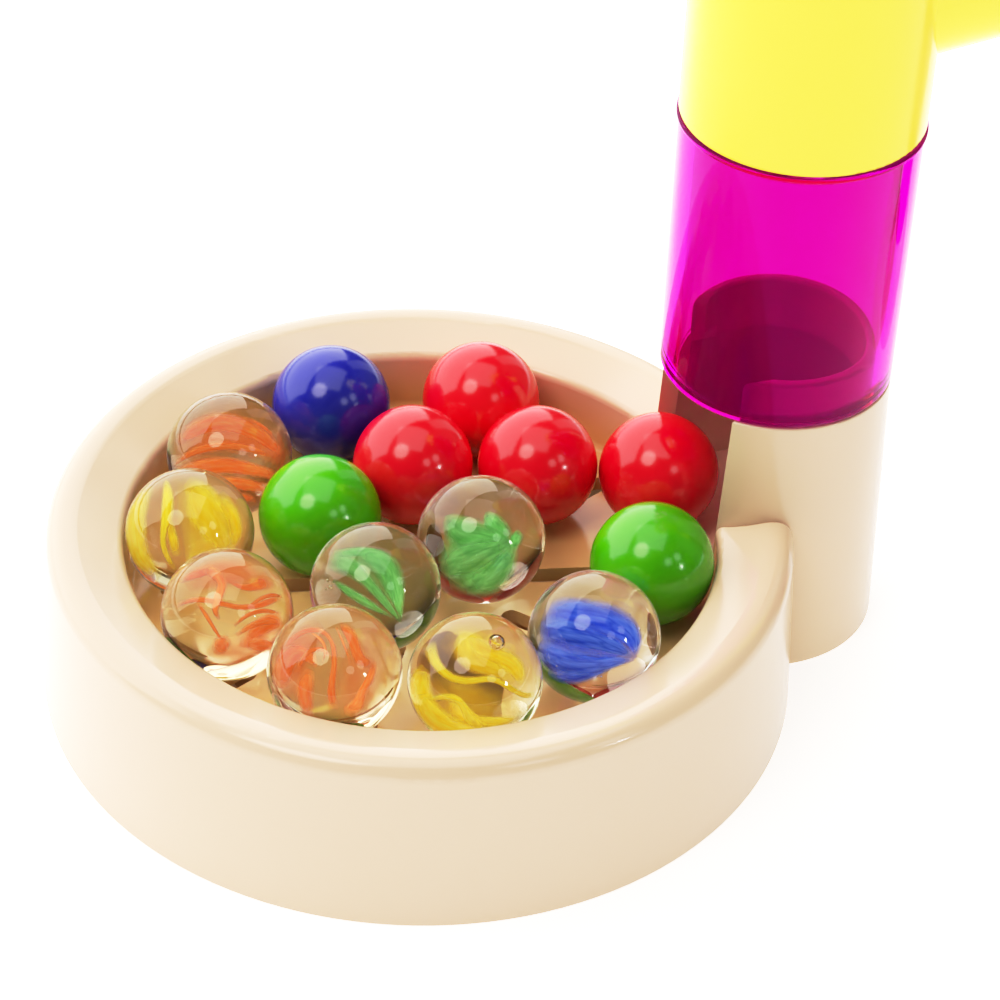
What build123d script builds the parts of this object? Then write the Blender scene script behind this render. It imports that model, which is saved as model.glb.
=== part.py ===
from build123d import *
import os
from math import atan2, cos, degrees, radians, sin

# Marble run, in millimetres, +Z up, standing on z = 0.
# A round catch tray stands at the low end. Its outlet column carries a clear tube and
# the low end of a sloping chute. A second tower carries the chute's high end and a funnel.
# +X runs from the tray to the far tower, and the origin is under the middle of the run.

os.makedirs("parts", exist_ok=True)

# Marbles
GLASS_R = 8.0
OPAQUE_R = 7.7
MARBLE_GAP = 0.16      # kept between marbles, and from a marble to the bowl's wall
FLOOR_GAP = 0.1        # kept under each marble

# Catch tray
TRAY_BASE_R = 47.5
TRAY_RIM_R = 46.1
TRAY_H = 23.4
BOWL_R = 36.8
BOWL_FLOOR_Z = 12.9
TRAY_WALL = 2.0
RIM_CREST_R = 43.0     # the rim is level out to here and falls from here to the bowl
RIM_LIP_Z = 21.2
SLOT_COUNT = 10
SLOT_FIRST_DEG = 22.0
SLOT_W = 2.6
SLOT_ROWS = ((12.0, 22.6), (26.6, 32.5))
RIB_T = 1.4
RIB_Z = 4.5

# Socket and collar, the same on every stacking piece
COLLAR_R = 12.3
COLLAR_H = 5.5
BORE_R = 10.9
SOCKET_R = COLLAR_R + 0.08
SOCKET_H = 6.0
LEDGE_T = 1.8
STACK_GAP = 0.05       # between a socket's end and the shoulder that it rests on

# Outlet column
TOWER_X = 46.6         # tray axis to column axis
COLUMN_BASE_R = 15.7
COLUMN_TOP_R = 14.5
COLUMN_H = 37.0
COLUMN_WALL = 1.7
NOTCH_GAP = 0.2
DOOR_HALF_W = 10.2
COLLAR_DOOR_HALF_W = 8.9
COLLAR_CORNER_R = 1.4
DOOR_BACK_X = -4.0     # the doorway's cut ends here, from the column's axis
RAMP_DEG = 5.0

# Clear tubes
TUBE_R = 14.65
TUBE_H = 36.1
TUBE_BEAD_R = 14.95
TUBE_BEAD_H = 0.7

# Far tower
SPAN = 96.0            # column axis to far tower axis
FOOT_R = 24.0
FOOT_H = 12.0

# Chute
DRUM_R = 14.75
DRUM_H = 31.0
DRUM_WALL = 1.8
CHANNEL_R = 9.2
CHANNEL_WALL = 1.8
CHANNEL_AXIS_H = 16.7  # channel axis above the bottom of each drum
CHANNEL_SIDE_H = 5.0   # straight side above the channel axis
FILL_DROP = 5.0        # the far drum is filled to this far below the channel axis

# Funnel
FUNNEL_R = 29.0
FUNNEL_H = 30.0
FUNNEL_WALL = 1.8

# Places that follow from the sizes above
RUN_LENGTH = TRAY_BASE_R + TOWER_X + SPAN + max(FOOT_R, FUNNEL_R)
TRAY_X = TRAY_BASE_R - RUN_LENGTH / 2
NEAR_X = TRAY_X + TOWER_X
FAR_X = NEAR_X + SPAN
NEAR_DRUM_Z = COLUMN_H + TUBE_H
FAR_DRUM_Z = FOOT_H + 2 * TUBE_H
RISE = FAR_DRUM_Z - NEAR_DRUM_Z
SLOPE_DEG = degrees(atan2(RISE, SPAN))


def turned(points, rounds=()):
    """Turn a closed (radius, height) outline about Z, with some corners rounded first."""
    outline = make_face(Polyline(*points, close=True))
    for (r, z), radius in rounds:
        corner = outline.vertices().sort_by(lambda v: (v.X - r) ** 2 + (v.Y - z) ** 2)[0]
        outline = fillet(corner, radius)
    return revolve(Plane.XZ * outline, Axis.Z)


def save(node, part):
    """Write one node's STEP file."""
    part.label = node
    export_step(part, f"parts/{node}.step")


def collar_points(z):
    """Outline corners of the collar that stands on a shoulder at height z, outside first."""
    return [(COLLAR_R, z), (COLLAR_R, z + COLLAR_H), (BORE_R, z + COLLAR_H)]


def collar_rounds(z):
    """Rounded corners of that collar's top edge."""
    return [((COLLAR_R, z + COLLAR_H), 0.5), ((BORE_R, z + COLLAR_H), 0.4)]


def column_radius(z):
    """Outer radius of the drafted outlet column at height z."""
    return COLUMN_BASE_R + (COLUMN_TOP_R - COLUMN_BASE_R) * z / COLUMN_H


# ---------------------------------------------------------------- catch tray
def tray_shell():
    """Skirt, falling rim, bowl wall and floor, open underneath."""
    floor_under = BOWL_FLOOR_Z - TRAY_WALL
    inner_wall = BOWL_R + TRAY_WALL
    points = [
        (TRAY_BASE_R, 0),
        (TRAY_RIM_R, TRAY_H),
        (RIM_CREST_R, TRAY_H),
        (BOWL_R, RIM_LIP_Z),
        (BOWL_R, BOWL_FLOOR_Z),
        (0, BOWL_FLOOR_Z),
        (0, floor_under),
        (inner_wall, floor_under),
        (inner_wall, RIM_LIP_Z - TRAY_WALL),
        (RIM_CREST_R, TRAY_H - TRAY_WALL),
        (TRAY_RIM_R - TRAY_WALL, TRAY_H - TRAY_WALL),
        (TRAY_BASE_R - TRAY_WALL, 0),
    ]
    rounds = [
        ((TRAY_RIM_R, TRAY_H), 2.2),
        ((RIM_CREST_R, TRAY_H), 4.0),
        ((BOWL_R, RIM_LIP_Z), 1.2),
        ((BOWL_R, BOWL_FLOOR_Z), 1.0),
    ]
    return turned(points, rounds)


def floor_ribs():
    """Radial ribs and one ring rib under the bowl's floor."""
    height = BOWL_FLOOR_Z - TRAY_WALL / 2 - RIB_Z
    ring_r = (SLOT_ROWS[0][1] + SLOT_ROWS[1][0]) / 2
    level = Pos(0, 0, RIB_Z)
    ring = level * extrude(Circle(ring_r + RIB_T / 2) - Circle(ring_r - RIB_T / 2), height)
    length = BOWL_R + TRAY_WALL / 2
    blade = level * Pos(length / 2, 0, height / 2) * Box(length, RIB_T, height)
    pitch = 360 / SLOT_COUNT
    for k in range(0, SLOT_COUNT, 2):
        ring += Rot(0, 0, SLOT_FIRST_DEG + pitch * (k + 0.5)) * blade
    return ring


def floor_slots():
    """Two rings of radial slots through the bowl's floor."""
    cuts = []
    for inner, outer in SLOT_ROWS:
        slot = extrude(SlotOverall(outer - inner, SLOT_W), TRAY_H)
        for k in range(SLOT_COUNT):
            cuts.append(Rot(0, 0, SLOT_FIRST_DEG + 360 / SLOT_COUNT * k) * Pos((inner + outer) / 2, 0, 0) * slot)
    return cuts


def catch_tray():
    """The tray, with a round notch on its +X side that the outlet column fits."""
    tray = tray_shell() + floor_ribs()
    tray -= floor_slots()
    reach = TRAY_H + 2
    notch = Cone(column_radius(0) + NOTCH_GAP, column_radius(reach) + NOTCH_GAP, reach,
                 align=(Align.CENTER, Align.CENTER, Align.MIN))
    tray -= Pos(TOWER_X, 0, 0) * notch
    ends = [edge for edge in tray.edges()
            if edge.center().X > RIM_CREST_R - 10 and edge.center().Z > RIM_LIP_Z - 0.6
            and abs((edge.center() - Vector(TOWER_X, 0, edge.center().Z)).length - column_radius(TRAY_H)) < 1.2
            and edge.length > 4]
    tray = fillet(ends, 0.5)
    return Pos(TRAY_X, 0, 0) * tray


# ---------------------------------------------------------------- outlet column
def column_shell():
    """Drafted tube with a ledge and a collar on top."""
    ledge_z = COLUMN_H - LEDGE_T
    points = [(COLUMN_BASE_R, 0), (COLUMN_TOP_R, COLUMN_H)] + collar_points(COLUMN_H) + [
        (BORE_R, ledge_z),
        (COLUMN_TOP_R - COLUMN_WALL, ledge_z),
        (COLUMN_BASE_R - COLUMN_WALL, 0),
    ]
    return turned(points, [((COLUMN_TOP_R, COLUMN_H), 0.3)] + collar_rounds(COLUMN_H))


def column_ramp():
    """Floor inside the column: level at the doorway, rising behind the axis."""
    reach = COLUMN_BASE_R - COLUMN_WALL / 2
    under = BOWL_FLOOR_Z - TRAY_WALL
    top_back = BOWL_FLOOR_Z + COLUMN_BASE_R * sin(radians(RAMP_DEG))
    side = make_face(Polyline((-reach, under), (COLUMN_BASE_R, under), (COLUMN_BASE_R, top_back),
                              (0, BOWL_FLOOR_Z), (-reach, BOWL_FLOOR_Z), close=True))
    slab = extrude(Plane.XZ * side, reach, both=True)
    return slab & Cylinder(column_radius(BOWL_FLOOR_Z) - COLUMN_WALL / 2, 2 * COLUMN_H)


def collar_gap():
    """Outline across X of the gap in the collar, flared so that the collar's top corners are round."""
    top = COLUMN_H + COLLAR_H
    gap = Pos(0, BOWL_FLOOR_Z) * Rectangle(2 * COLLAR_DOOR_HALF_W, top - BOWL_FLOOR_Z,
                                           align=(Align.CENTER, Align.MIN))
    for side in (-1, 1):
        corner = Pos(side * COLLAR_DOOR_HALF_W, top - COLLAR_CORNER_R)
        flare = corner * Pos(side * COLLAR_CORNER_R / 2, COLLAR_CORNER_R / 2) * Rectangle(
            COLLAR_CORNER_R, COLLAR_CORNER_R)
        gap += flare - corner * Pos(side * COLLAR_CORNER_R, 0) * Circle(COLLAR_CORNER_R)
    return gap


def outlet_column():
    """Hollow column whose doorway faces the bowl and runs up through the collar."""
    column = column_shell() + column_ramp()
    door_h = COLUMN_H - BOWL_FLOOR_Z
    door = Pos(DOOR_BACK_X, 0, BOWL_FLOOR_Z) * Box(
        COLUMN_BASE_R, 2 * DOOR_HALF_W, door_h, align=(Align.MAX, Align.CENTER, Align.MIN))
    across = Plane(origin=(DOOR_BACK_X, 0, 0), x_dir=(0, -1, 0), z_dir=(-1, 0, 0))
    gap = extrude(across * collar_gap(), COLUMN_BASE_R)
    return Pos(NEAR_X, 0, 0) * (column - door - gap)


# ---------------------------------------------------------------- clear tubes
def clear_tube(x, z):
    """Straight tube with a socket below, a bead and a collar above."""
    bottom = STACK_GAP
    shoulder = TUBE_H - STACK_GAP
    bead_z = TUBE_H - TUBE_BEAD_H
    points = [(SOCKET_R, bottom), (TUBE_R - 0.1, bottom), (TUBE_R, bead_z), (TUBE_BEAD_R, bead_z),
              (TUBE_BEAD_R, shoulder)]
    points += collar_points(shoulder)
    points += [(BORE_R, shoulder - LEDGE_T), (SOCKET_R, shoulder - LEDGE_T)]
    rounds = [((TUBE_R - 0.1, bottom), 0.6), ((SOCKET_R, bottom), 0.4), ((TUBE_BEAD_R, shoulder), 0.3),
              ((TUBE_BEAD_R, bead_z), 0.25)]
    return Pos(x, 0, z) * turned(points, rounds + collar_rounds(shoulder))


# ---------------------------------------------------------------- far foot
def far_foot():
    """Flanged hollow foot with a collar."""
    ledge_z = FOOT_H - LEDGE_T
    flange_z = 3.0
    neck_z = 6.0
    wall = TRAY_WALL
    points = [(FOOT_R, 0), (FOOT_R, flange_z), (COLUMN_TOP_R + 1.2, neck_z), (COLUMN_TOP_R, FOOT_H)]
    points += collar_points(FOOT_H)
    points += [(BORE_R, ledge_z), (COLUMN_TOP_R - wall, ledge_z), (COLUMN_TOP_R + 1.2 - wall, neck_z - wall),
               (FOOT_R - wall, flange_z - wall), (FOOT_R - wall, 0)]
    rounds = [((FOOT_R, flange_z), 1.6), ((COLUMN_TOP_R + 1.2, neck_z), 2.0), ((COLUMN_TOP_R, FOOT_H), 0.3)]
    return Pos(FAR_X, 0, 0) * turned(points, rounds + collar_rounds(FOOT_H))


# ---------------------------------------------------------------- chute
def drum_shell(floor_r):
    """One end of the chute: socket below, open drum, ledge and collar above."""
    bottom = STACK_GAP
    socket_top = bottom + SOCKET_H
    inner = DRUM_R - DRUM_WALL
    points = [(SOCKET_R, bottom), (DRUM_R, bottom), (DRUM_R, DRUM_H)] + collar_points(DRUM_H)
    points += [(BORE_R, DRUM_H - LEDGE_T), (inner, DRUM_H - LEDGE_T), (inner, socket_top + LEDGE_T),
               (floor_r, socket_top + LEDGE_T), (floor_r, socket_top), (SOCKET_R, socket_top)]
    rounds = [((DRUM_R, bottom), 0.5), ((DRUM_R, DRUM_H), 0.8), ((SOCKET_R, bottom), 0.4)]
    return turned(points, rounds + collar_rounds(DRUM_H))


def channel_frame(distance):
    """Plane across the channel at a distance from the near drum's axis, with y up the slope's normal."""
    slope = radians(SLOPE_DEG)
    along = Vector(cos(slope), 0, sin(slope))
    start = Vector(NEAR_X, 0, NEAR_DRUM_Z + CHANNEL_AXIS_H)
    return Plane(origin=start + along * distance, x_dir=(0, 1, 0), z_dir=along)


def channel_section(radius, side):
    """U outline, half round below the channel axis and straight-sided to a height above it."""
    square = Rectangle(2 * radius, radius + side, align=(Align.CENTER, Align.MAX))
    tall = Circle(radius) + Pos(0, side) * Rectangle(2 * radius, side, align=(Align.CENTER, Align.MAX))
    return tall & Pos(0, side) * square


def channel_lips():
    """Round edges along the tops of both channel sides."""
    mid = CHANNEL_R + CHANNEL_WALL / 2
    return [Pos(side * mid, CHANNEL_SIDE_H) * Circle(CHANNEL_WALL / 2) for side in (-1, 1)]


def run_along(section, start, end):
    """Extrude a section along the channel between two distances from the near drum's axis."""
    return extrude(channel_frame(start) * section, end - start)


def chute():
    """Near drum, far drum and the sloping channel between them, in one moulding."""
    length = SPAN / cos(radians(SLOPE_DEG))
    near = Pos(NEAR_X, 0, NEAR_DRUM_Z) * drum_shell(BORE_R)
    far = Pos(FAR_X, 0, FAR_DRUM_Z) * drum_shell(0)
    mid_wall_r = DRUM_R - DRUM_WALL / 2
    filling = Pos(FAR_X, 0, FAR_DRUM_Z + SOCKET_H + LEDGE_T / 2) * Cylinder(
        mid_wall_r, CHANNEL_AXIS_H - SOCKET_H - FILL_DROP, align=(Align.CENTER, Align.CENTER, Align.MIN))
    outside = channel_section(CHANNEL_R + CHANNEL_WALL, CHANNEL_SIDE_H) + channel_lips()
    bar = run_along(outside, 0, length)
    core = Cylinder(mid_wall_r, 2 * (FAR_DRUM_Z + DRUM_H))
    bar = bar - Pos(NEAR_X, 0, 0) * core - Pos(FAR_X, 0, 0) * core
    body = near + far + filling + bar
    start = (BORE_R - CHANNEL_WALL) / 2
    body -= run_along(channel_section(CHANNEL_R, CHANNEL_SIDE_H + CHANNEL_WALL), start, length)
    body -= run_along(Circle(CHANNEL_R), start, length)
    return body - Pos(*channel_frame(length).origin) * Sphere(CHANNEL_R)


# ---------------------------------------------------------------- funnel
def start_funnel():
    """Socket ring with a flared mouth above it."""
    bottom = STACK_GAP
    socket_top = bottom + SOCKET_H
    cone_z = socket_top + LEDGE_T
    points = [(SOCKET_R, bottom), (DRUM_R, bottom), (DRUM_R, cone_z), (FUNNEL_R, FUNNEL_H - 3), (FUNNEL_R, FUNNEL_H),
              (FUNNEL_R - FUNNEL_WALL, FUNNEL_H), (FUNNEL_R - FUNNEL_WALL, FUNNEL_H - 2.4), (BORE_R, cone_z - 0.4),
              (BORE_R, socket_top), (SOCKET_R, socket_top)]
    rounds = [((DRUM_R, bottom), 0.5), ((SOCKET_R, bottom), 0.4), ((DRUM_R, cone_z), 3.0), ((FUNNEL_R, FUNNEL_H - 3), 3.0),
              ((FUNNEL_R, FUNNEL_H), 0.8), ((FUNNEL_R - FUNNEL_WALL, FUNNEL_H), 0.8),
              ((FUNNEL_R - FUNNEL_WALL, FUNNEL_H - 2.4), 3.0), ((BORE_R, cone_z - 0.4), 2.0)]
    return Pos(FAR_X, 0, FAR_DRUM_Z + DRUM_H) * turned(points, rounds)


# ---------------------------------------------------------------- marbles
def marble(radius, bearing_deg, distance):
    """Sphere on the bowl's floor at a bearing and distance from the tray's axis."""
    angle = radians(bearing_deg)
    place = (TRAY_X + distance * cos(angle), distance * sin(angle), BOWL_FLOOR_Z + FLOOR_GAP + radius)
    return Pos(*place) * Sphere(radius)


def against_wall(radius):
    """Distance from the tray's axis of a marble that rests against the bowl's wall."""
    return BOWL_R - radius - MARBLE_GAP


# Marbles against the wall: name, radius and bearing
WALL_MARBLES = (
    ("marble_red_1", OPAQUE_R, 55.4),
    ("marble_blue", OPAQUE_R, 95.1),
    ("glass_orange_1", GLASS_R, 129.9),
    ("glass_yellow_1", GLASS_R, 163.4),
    ("glass_orange_2", GLASS_R, 196.8),
    ("glass_orange_3", GLASS_R, 230.3),
    ("glass_yellow_2", GLASS_R, 263.8),
    ("glass_blue", GLASS_R, 297.2),
    ("marble_green_2", OPAQUE_R, 330.0),
)

# Marbles inside the ring and in the doorway: name, radius, bearing and distance
INNER_MARBLES = (
    ("marble_red_2", OPAQUE_R, 75.6, 13.7),
    ("marble_red_3", OPAQUE_R, 24.4, 20.4),
    ("marble_red_4", OPAQUE_R, 4.3, 33.0),
    ("marble_green_1", OPAQUE_R, 147.8, 13.0),
    ("glass_green_1", GLASS_R, 224.8, 12.6),
    ("glass_green_2", GLASS_R, 328.5, 7.6),
)


def main():
    """Write every node."""
    save("catch_tray", catch_tray())
    save("outlet_column", outlet_column())
    save("purple_tube", clear_tube(NEAR_X, COLUMN_H))
    save("far_foot", far_foot())
    save("far_tube_lower", clear_tube(FAR_X, FOOT_H))
    save("far_tube_upper", clear_tube(FAR_X, FOOT_H + TUBE_H))
    save("chute", chute())
    save("start_funnel", start_funnel())
    for name, radius, bearing in WALL_MARBLES:
        save(name, marble(radius, bearing, against_wall(radius)))
    for name, radius, bearing, distance in INNER_MARBLES:
        save(name, marble(radius, bearing, distance))
    print(f"run length {RUN_LENGTH:.2f}, chute slope {SLOPE_DEG:.2f} degrees")


main()
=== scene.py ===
"""Looks of the marble run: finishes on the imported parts, and the swirls inside the glass marbles."""

import logging
import math
from dataclasses import dataclass, field, replace
from enum import Enum

import bmesh
import bpy
from mathutils import Matrix, Vector


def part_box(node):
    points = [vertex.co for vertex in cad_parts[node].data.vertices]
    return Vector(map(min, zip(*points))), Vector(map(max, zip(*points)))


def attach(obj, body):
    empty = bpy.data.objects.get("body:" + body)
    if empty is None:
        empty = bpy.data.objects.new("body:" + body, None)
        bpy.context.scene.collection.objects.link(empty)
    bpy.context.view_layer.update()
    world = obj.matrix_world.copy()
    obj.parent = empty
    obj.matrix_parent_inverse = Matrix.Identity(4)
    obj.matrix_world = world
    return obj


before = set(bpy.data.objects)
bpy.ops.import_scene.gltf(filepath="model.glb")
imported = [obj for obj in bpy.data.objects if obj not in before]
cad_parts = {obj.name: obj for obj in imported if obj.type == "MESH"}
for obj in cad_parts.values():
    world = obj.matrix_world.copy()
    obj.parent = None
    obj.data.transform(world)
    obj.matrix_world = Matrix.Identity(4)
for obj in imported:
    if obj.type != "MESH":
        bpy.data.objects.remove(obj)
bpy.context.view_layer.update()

LOG = logging.getLogger("marble_run")
MM = 0.001
FLOOR_DROP = 0.2 * MM
VANE_LAYERS = ("across", "along", "body")
VANE_SECTION = (-1.0, -0.5, 0.0, 0.5, 1.0)
Colour = tuple[float, float, float]
Turn = tuple[float, float, float]
Socket = bpy.types.NodeSocket


def paint(red: int, green: int, blue: int) -> Colour:
    """Turns a colour as a paint chart gives it, 0 to 255, into the linear one that shaders take.

    Args:
        red: The red part.
        green: The green part.
        blue: The blue part.

    Returns:
        The three linear parts.
    """

    def linear(part: int) -> float:
        """One part, as linear light by the usual screen curve."""
        share = part / 255.0
        return share / 12.92 if share <= 0.04045 else ((share + 0.055) / 1.055) ** 2.4

    return linear(red), linear(green), linear(blue)


class Bench:
    """Places and wires the nodes of one tree."""

    def __init__(self, tree: bpy.types.NodeTree) -> None:
        """Takes the tree to work on."""
        self.tree = tree

    def put(self, kind: str, settings: dict | None = None, **sockets: object) -> bpy.types.Node:
        """Adds a node.

        Args:
            kind: Its type, without the word ShaderNode.
            settings: The node's own properties.
            **sockets: A value, or a socket to wire, for each named input, with _ for a space.

        Returns:
            The node.
        """
        node = self.tree.nodes.new("ShaderNode" + kind)
        for name, value in (settings or {}).items():
            setattr(node, name, value)
        for name, value in sockets.items():
            self.feed(node.inputs[name.replace("_", " ")], value)
        return node

    def feed(self, socket: Socket, value: object) -> None:
        """Wires a socket to an input, or sets the input's own value.

        Args:
            socket: The input.
            value: The socket to wire, or the value to set.
        """
        if isinstance(value, Socket):
            self.tree.links.new(value, socket)
        elif isinstance(value, tuple) and socket.type == "RGBA" and len(value) == 3:
            socket.default_value = (*value, 1.0)
        else:
            socket.default_value = value

    def compute(self, operation: str, first: object, second: object = 0.0, third: object = 0.0) -> Socket:
        """Adds a Math node.

        Args:
            operation: Its operation, such as "MULTIPLY".
            first: The first value or socket.
            second: The second value or socket.
            third: The third value or socket.

        Returns:
            The node's output.
        """
        node = self.tree.nodes.new("ShaderNodeMath")
        node.operation = operation
        for socket, value in zip(node.inputs, (first, second, third)):
            self.feed(socket, value)
        return node.outputs[0]

    def spread(self, value: object, low: object, high: float, start: float = 0.0, end: float = 1.0) -> Socket:
        """Takes a value from one range into another, smoothly.

        Args:
            value: The value or socket.
            low: Where the first range starts.
            high: Where it ends.
            start: Where the second range starts.
            end: Where it ends.

        Returns:
            The new value.
        """
        node = self.put("MapRange", {"interpolation_type": "SMOOTHSTEP"})
        for socket, given in zip(node.inputs[:5], (value, low, high, start, end)):
            self.feed(socket, given)
        return node.outputs[0]

    def blend(self, share: object, first: object, second: object) -> Socket:
        """Mixes two colours.

        Args:
            share: How much of the second colour there is.
            first: The first colour.
            second: The second colour.

        Returns:
            The mixed colour.
        """
        node = self.put("Mix", {"data_type": "RGBA", "blend_type": "MIX"})
        for index, value in ((0, share), (6, first), (7, second)):
            self.feed(node.inputs[index], value)
        return node.outputs[2]


class Effect(Enum):
    """The surface effects that several finishes share, each a node group."""

    MOULD_SKIN = "mould_skin"
    HAIRLINES = "hairlines"
    SPECKS = "specks"
    STREAKS = "streaks"


class Effects:
    """Builds each shared effect once and places it in materials."""

    def __init__(self) -> None:
        """Starts with nothing built."""
        self.built: dict[Effect, bpy.types.NodeTree] = {}

    def place(self, bench: Bench, effect: Effect, **sockets: object) -> bpy.types.Node:
        """Places an effect in a material.

        Args:
            bench: The bench of the material's tree.
            effect: Which effect.
            **sockets: Its inputs, as Bench.put takes them.

        Returns:
            The group node.
        """
        if effect not in self.built:
            tree = bpy.data.node_groups.new(effect.value, "ShaderNodeTree")
            getattr(self, "_" + effect.value)(tree)
            self.built[effect] = tree
        node = bench.tree.nodes.new("ShaderNodeGroup")
        node.node_tree = self.built[effect]
        for name, value in sockets.items():
            bench.feed(node.inputs[name.replace("_", " ")], value)
        return node

    @staticmethod
    def _open(
        tree: bpy.types.NodeTree, inputs: tuple[str, ...], outputs: tuple[str, ...]
    ) -> tuple[Bench, bpy.types.NodeInputs, bpy.types.NodeOutputs]:
        """Gives a group its sockets.

        Args:
            tree: The group's tree.
            inputs: The names of the number inputs. A Vector input comes before them.
            outputs: The names of the number outputs.

        Returns:
            The bench, what the group is given, and what it puts out.
        """
        tree.interface.new_socket("Vector", in_out="INPUT", socket_type="NodeSocketVector")
        for name in inputs:
            tree.interface.new_socket(name, in_out="INPUT", socket_type="NodeSocketFloat")
        for name in outputs:
            tree.interface.new_socket(name, in_out="OUTPUT", socket_type="NodeSocketFloat")
        return Bench(tree), tree.nodes.new("NodeGroupInput").outputs, tree.nodes.new("NodeGroupOutput").inputs

    def _mould_skin(self, tree: bpy.types.NodeTree) -> None:
        """Slow clouds from the flow of the plastic, and the fine orange peel of a mould.

        Args:
            tree: The group's tree.
        """
        bench, given, out = self._open(tree, ("Cloud Scale", "Peel Scale"), ("Cloud", "Peel"))
        where = given["Vector"]
        cloud = bench.put("TexNoise", Vector=where, Scale=given["Cloud Scale"], Detail=4.0, Roughness=0.55)
        peel = bench.put("TexNoise", Vector=where, Scale=given["Peel Scale"], Detail=2.0)
        bench.feed(out["Cloud"], bench.spread(cloud.outputs["Fac"], 0.25, 0.75))
        bench.feed(out["Peel"], peel.outputs["Fac"])

    def _hairlines(self, tree: bpy.types.NodeTree) -> None:
        """Short straight scratches that lie in two directions, each a cell pattern drawn out lengthways.

        Args:
            tree: The group's tree.
        """
        bench, given, out = self._open(tree, ("Scale", "Share", "Size"), ("Mask",))
        masks = []
        for turn, stretch in (((0.4, 0.9, 0.3), (1.0, 1.0, 0.1)), ((1.3, 0.2, 1.1), (0.1, 1.0, 1.0))):
            drawn = bench.put("Mapping", Vector=given["Vector"], Rotation=turn, Scale=stretch)
            cells = bench.put("TexVoronoi", Vector=drawn.outputs["Vector"], Scale=given["Scale"])
            masks.append(self._marks_in(bench, cells, given["Share"], given["Size"]))
        bench.feed(out["Mask"], bench.compute("MAXIMUM", *masks))

    def _specks(self, tree: bpy.types.NodeTree) -> None:
        """Scattered specks with uneven outlines, such as dust and tiny nicks.

        Args:
            tree: The group's tree.
        """
        bench, given, out = self._open(tree, ("Scale", "Share", "Size"), ("Mask",))
        cells = bench.put("TexVoronoi", Vector=given["Vector"], Scale=given["Scale"])
        finer = bench.compute("MULTIPLY", given["Scale"], 4.0)
        wobble = bench.put("TexNoise", Vector=given["Vector"], Scale=finer).outputs["Fac"]
        radius = bench.compute("MULTIPLY", given["Size"], bench.compute("MULTIPLY_ADD", wobble, 1.4, 0.3))
        bench.feed(out["Mask"], self._marks_in(bench, cells, given["Share"], radius))

    @staticmethod
    def _marks_in(bench: Bench, cells: bpy.types.Node, share: Socket, radius: Socket) -> Socket:
        """Picks some of the cells of a pattern and marks their middles.

        Args:
            bench: The bench.
            cells: The Voronoi node.
            share: The share of cells that have a mark.
            radius: How far a mark reaches from its cell's middle.

        Returns:
            The mask, 1 on a mark.
        """
        picked = bench.put("SeparateColor", Color=cells.outputs["Color"])
        chosen = bench.compute("LESS_THAN", picked.outputs["Red"], share)
        inside = bench.compute("LESS_THAN", cells.outputs["Distance"], radius)
        return bench.compute("MULTIPLY", inside, chosen)

    def _streaks(self, tree: bpy.types.NodeTree) -> None:
        """Long drawn-out streaks, as coloured glass shows where it was twisted.

        Args:
            tree: The group's tree.
        """
        bench, given, out = self._open(tree, ("Scale", "Twist"), ("Streak", "Cloud"))
        where = given["Vector"]
        height = bench.put("SeparateXYZ", Vector=where).outputs["Z"]
        angle = bench.compute("MULTIPLY", height, given["Twist"])
        turned = bench.put("VectorRotate", {"rotation_type": "Z_AXIS"}, Vector=where, Angle=angle)
        drawn = bench.put("Mapping", Vector=turned.outputs["Vector"], Scale=(1.0, 1.0, 0.22))
        streak = bench.put(
            "TexNoise", Vector=drawn.outputs["Vector"], Scale=given["Scale"], Detail=5.0, Distortion=0.8
        )
        coarser = bench.compute("MULTIPLY", given["Scale"], 0.6)
        cloud = bench.put("TexNoise", Vector=where, Scale=coarser, Detail=3.0)
        bench.feed(out["Streak"], bench.spread(streak.outputs["Fac"], 0.35, 0.7))
        bench.feed(out["Cloud"], bench.spread(cloud.outputs["Fac"], 0.3, 0.7))


@dataclass(frozen=True)
class Marks:
    """How small marks lie on a surface.

    Attributes:
        scale: How fine the cells that hold them are.
        share: The share of cells that have one.
        size: How far a mark reaches from its cell's middle, in cells.
    """

    scale: float
    share: float
    size: float


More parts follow.
